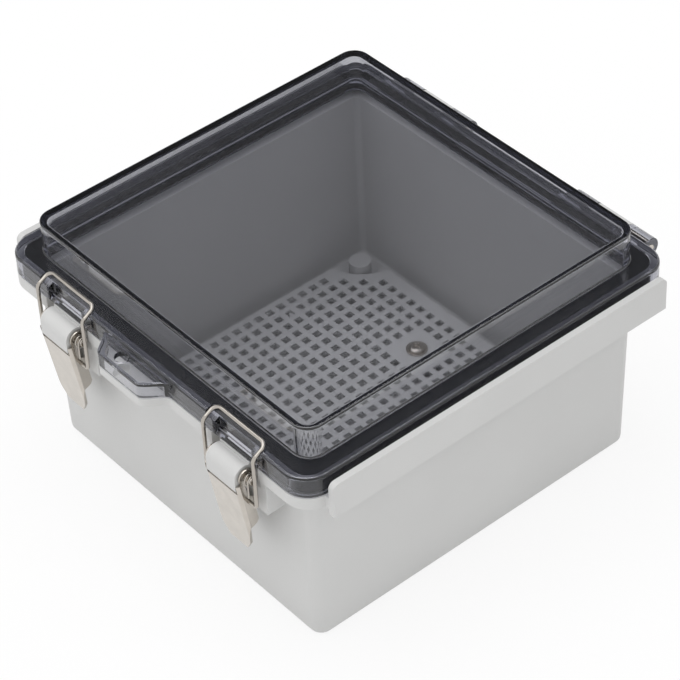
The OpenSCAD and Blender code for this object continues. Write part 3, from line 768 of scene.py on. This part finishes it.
class JUNCTIONBOX_OT_studio(bpy.types.Operator):
    """Sets the floor, the light and the camera"""
    bl_idname = "junctionbox.studio"
    bl_label = "Studio"
    floor_size, floor_drop = 8, 0.2 * MM
    shadow_near, shadow_far, shadow_white = 0.12, 0.32, 0.85  # how white the floor shows close to the box
    screen_way = (-0.588, 0.464, 0.663)  # where the level faces' gloss points in the photo's view
    screen_edge, screen_core, screen_share = 0.8, 0.95, 0.12
    panel_place, panel_size = (-0.3, -0.4, 1.6), (1.4, 1.4)
    strip_place, strip_size, strip_turn = (-0.6, 0.42, 1.6), (1.5, 0.25), math.radians(37)

    def execute(self, context):
        scene = context.scene
        scene.view_settings.view_transform = "Standard"
        self.floor()
        self.sky(scene)
        self.panel("soft_panel", self.panel_place, self.panel_size, 0, scene.box_studio.key)
        # the strip shows as a thin bright line along the lid's rounded edges
        self.panel("edge_strip", self.strip_place, self.strip_size, self.strip_turn, scene.box_studio.strip)
        self.camera(scene)
        return {"FINISHED"}

    def seen(self, tree):
        """1 for rays that show the surroundings, straight or in gloss and glass."""
        path = add(tree, "LightPath")
        first = add(tree, "Math", links={0: path.outputs["Is Camera Ray"], 1: path.outputs["Is Glossy Ray"]},
                    operation="MAXIMUM")
        return add(tree, "Math", links={0: first.outputs[0], 1: path.outputs["Is Transmission Ray"]},
                   operation="MAXIMUM").outputs[0]

    def floor(self):
        """A pale floor that shows as white and keeps the box's shadow."""
        only()
        bpy.ops.mesh.primitive_plane_add(size=self.floor_size, location=(0, 0, -self.floor_drop))
        floor = bpy.context.object
        floor.name = "pale_floor"
        material, tree, out = new_material("pale_floor_paint")
        matt = add(tree, "BsdfDiffuse", {"Color": (0.9, 0.9, 0.9, 1)})
        white = add(tree, "Emission", {"Color": (1, 1, 1, 1), "Strength": 1.0})
        place = add(tree, "TexCoord").outputs["Object"]
        away = add(tree, "VectorMath", links={0: place}, operation="LENGTH").outputs["Value"]
        fade = add(tree, "MapRange", {"From Min": self.shadow_near, "From Max": self.shadow_far,
                                      "To Min": self.shadow_white, "To Max": 1.0},
                   {"Value": away}, interpolation_type="SMOOTHSTEP").outputs["Result"]
        share = add(tree, "Math", links={0: fade, 1: self.seen(tree)}, operation="MULTIPLY")
        mixed = add(tree, "MixShader", links={0: share.outputs[0], 1: matt.outputs[0], 2: white.outputs[0]})
        tree.links.new(mixed.outputs[0], out.inputs["Surface"])
        floor.data.materials.append(material)

    def sky(self, scene):
        """White surroundings that light the box evenly."""
        world = bpy.data.worlds.new("white_surroundings")
        scene.world = world
        world.use_nodes = True
        tree = world.node_tree
        tree.nodes.clear()
        # a dark screen high behind the box keeps the gloss of the level faces down
        look = add(tree, "TexCoord").outputs["Generated"]
        ahead = add(tree, "VectorMath", {1: self.screen_way}, {0: look}, operation="DOT_PRODUCT")
        screen = add(tree, "MapRange", {"From Min": self.screen_edge, "From Max": self.screen_core,
                                        "To Min": 1.0, "To Max": self.screen_share},
                     {"Value": ahead.outputs["Value"]}, interpolation_type="SMOOTHSTEP")
        # gloss and glass show the surroundings as white, and scattered light takes the plain level from them
        level = add(tree, "MapRange", {"To Min": scene.box_studio.sky, "To Max": 1.0},
                    {"Value": self.seen(tree)})
        studio = add(tree, "Math", links={0: screen.outputs["Result"], 1: level.outputs["Result"]},
                     operation="MULTIPLY")
        camera_ray = add(tree, "LightPath").outputs["Is Camera Ray"]
        strength = add(tree, "Math", links={0: studio.outputs[0], 1: camera_ray}, operation="MAXIMUM")
        light = add(tree, "Background", {"Color": (1, 1, 1, 1)}, {"Strength": strength.outputs[0]})
        out = add(tree, "OutputWorld")
        tree.links.new(light.outputs[0], out.inputs["Surface"])

    def panel(self, name, place, size, turn, power):
        """A soft lamp panel that faces the floor."""
        only()
        bpy.ops.object.light_add(type="AREA", location=place, rotation=(0, 0, turn))
        panel = bpy.context.object
        panel.name = name
        panel.data.shape = "RECTANGLE"
        panel.data.size, panel.data.size_y = size
        panel.data.energy = power

    def camera(self, scene):
        """The photo's view, turned round the box's middle on the floor and then set off across and up."""
        view = scene.box_studio
        back = Vector((math.sin(view.azimuth) * math.cos(view.elevation),
                       -math.cos(view.azimuth) * math.cos(view.elevation), math.sin(view.elevation)))
        level = Vector((math.cos(view.azimuth), math.sin(view.azimuth), 0))
        rise = back.cross(level)
        right = level * math.cos(view.roll) + rise * math.sin(view.roll)
        up = rise * math.cos(view.roll) - level * math.sin(view.roll)
        bpy.ops.object.camera_add()
        camera = bpy.context.object
        camera.name = "photo_camera"
        camera.data.sensor_width = 36
        camera.data.lens = view.lens
        turn = Matrix((right, up, back)).transposed().to_4x4()
        camera.matrix_world = Matrix.Translation(
            back * view.distance - right * view.across - up * view.upward) @ turn
        scene.camera = camera


class JUNCTIONBOX_PT_panel(bpy.types.Panel):
    """Lists the sizes, the colours and the steps"""
    bl_label = "Junction Box"
    bl_idname = "JUNCTIONBOX_PT_panel"
    bl_space_type = "VIEW_3D"
    bl_region_type = "UI"
    bl_category = "Junction Box"

    def draw(self, context):
        for group in GROUPS:
            held = getattr(context.scene, group)
            box = self.layout.box()
            for field in held.__annotations__:
                box.prop(held, field)
        for operator in STEPS:
            self.layout.operator(operator.bl_idname)


GROUPS = {"box_sizes": JunctionBoxSizes, "box_colours": JunctionBoxColours, "box_studio": JunctionBoxStudio}
STEPS = (JUNCTIONBOX_OT_studio, JUNCTIONBOX_OT_body, JUNCTIONBOX_OT_lid, JUNCTIONBOX_OT_seal,
         JUNCTIONBOX_OT_plate, JUNCTIONBOX_OT_fasteners, JUNCTIONBOX_OT_pins, JUNCTIONBOX_OT_levers,
         JUNCTIONBOX_OT_bails, JUNCTIONBOX_OT_springs)


def register():
    for cls in (*GROUPS.values(), *STEPS, JUNCTIONBOX_PT_panel):
        bpy.utils.register_class(cls)
    for name, group in GROUPS.items():
        setattr(bpy.types.Scene, name, bpy.props.PointerProperty(type=group))


def unregister():
    for name in GROUPS:
        delattr(bpy.types.Scene, name)
    for cls in reversed((*GROUPS.values(), *STEPS, JUNCTIONBOX_PT_panel)):
        bpy.utils.unregister_class(cls)


def main():
    register()
    for step in STEPS:
        group, name = step.bl_idname.split(".")
        getattr(getattr(bpy.ops, group), name)()


if __name__ == "__main__":
    main()
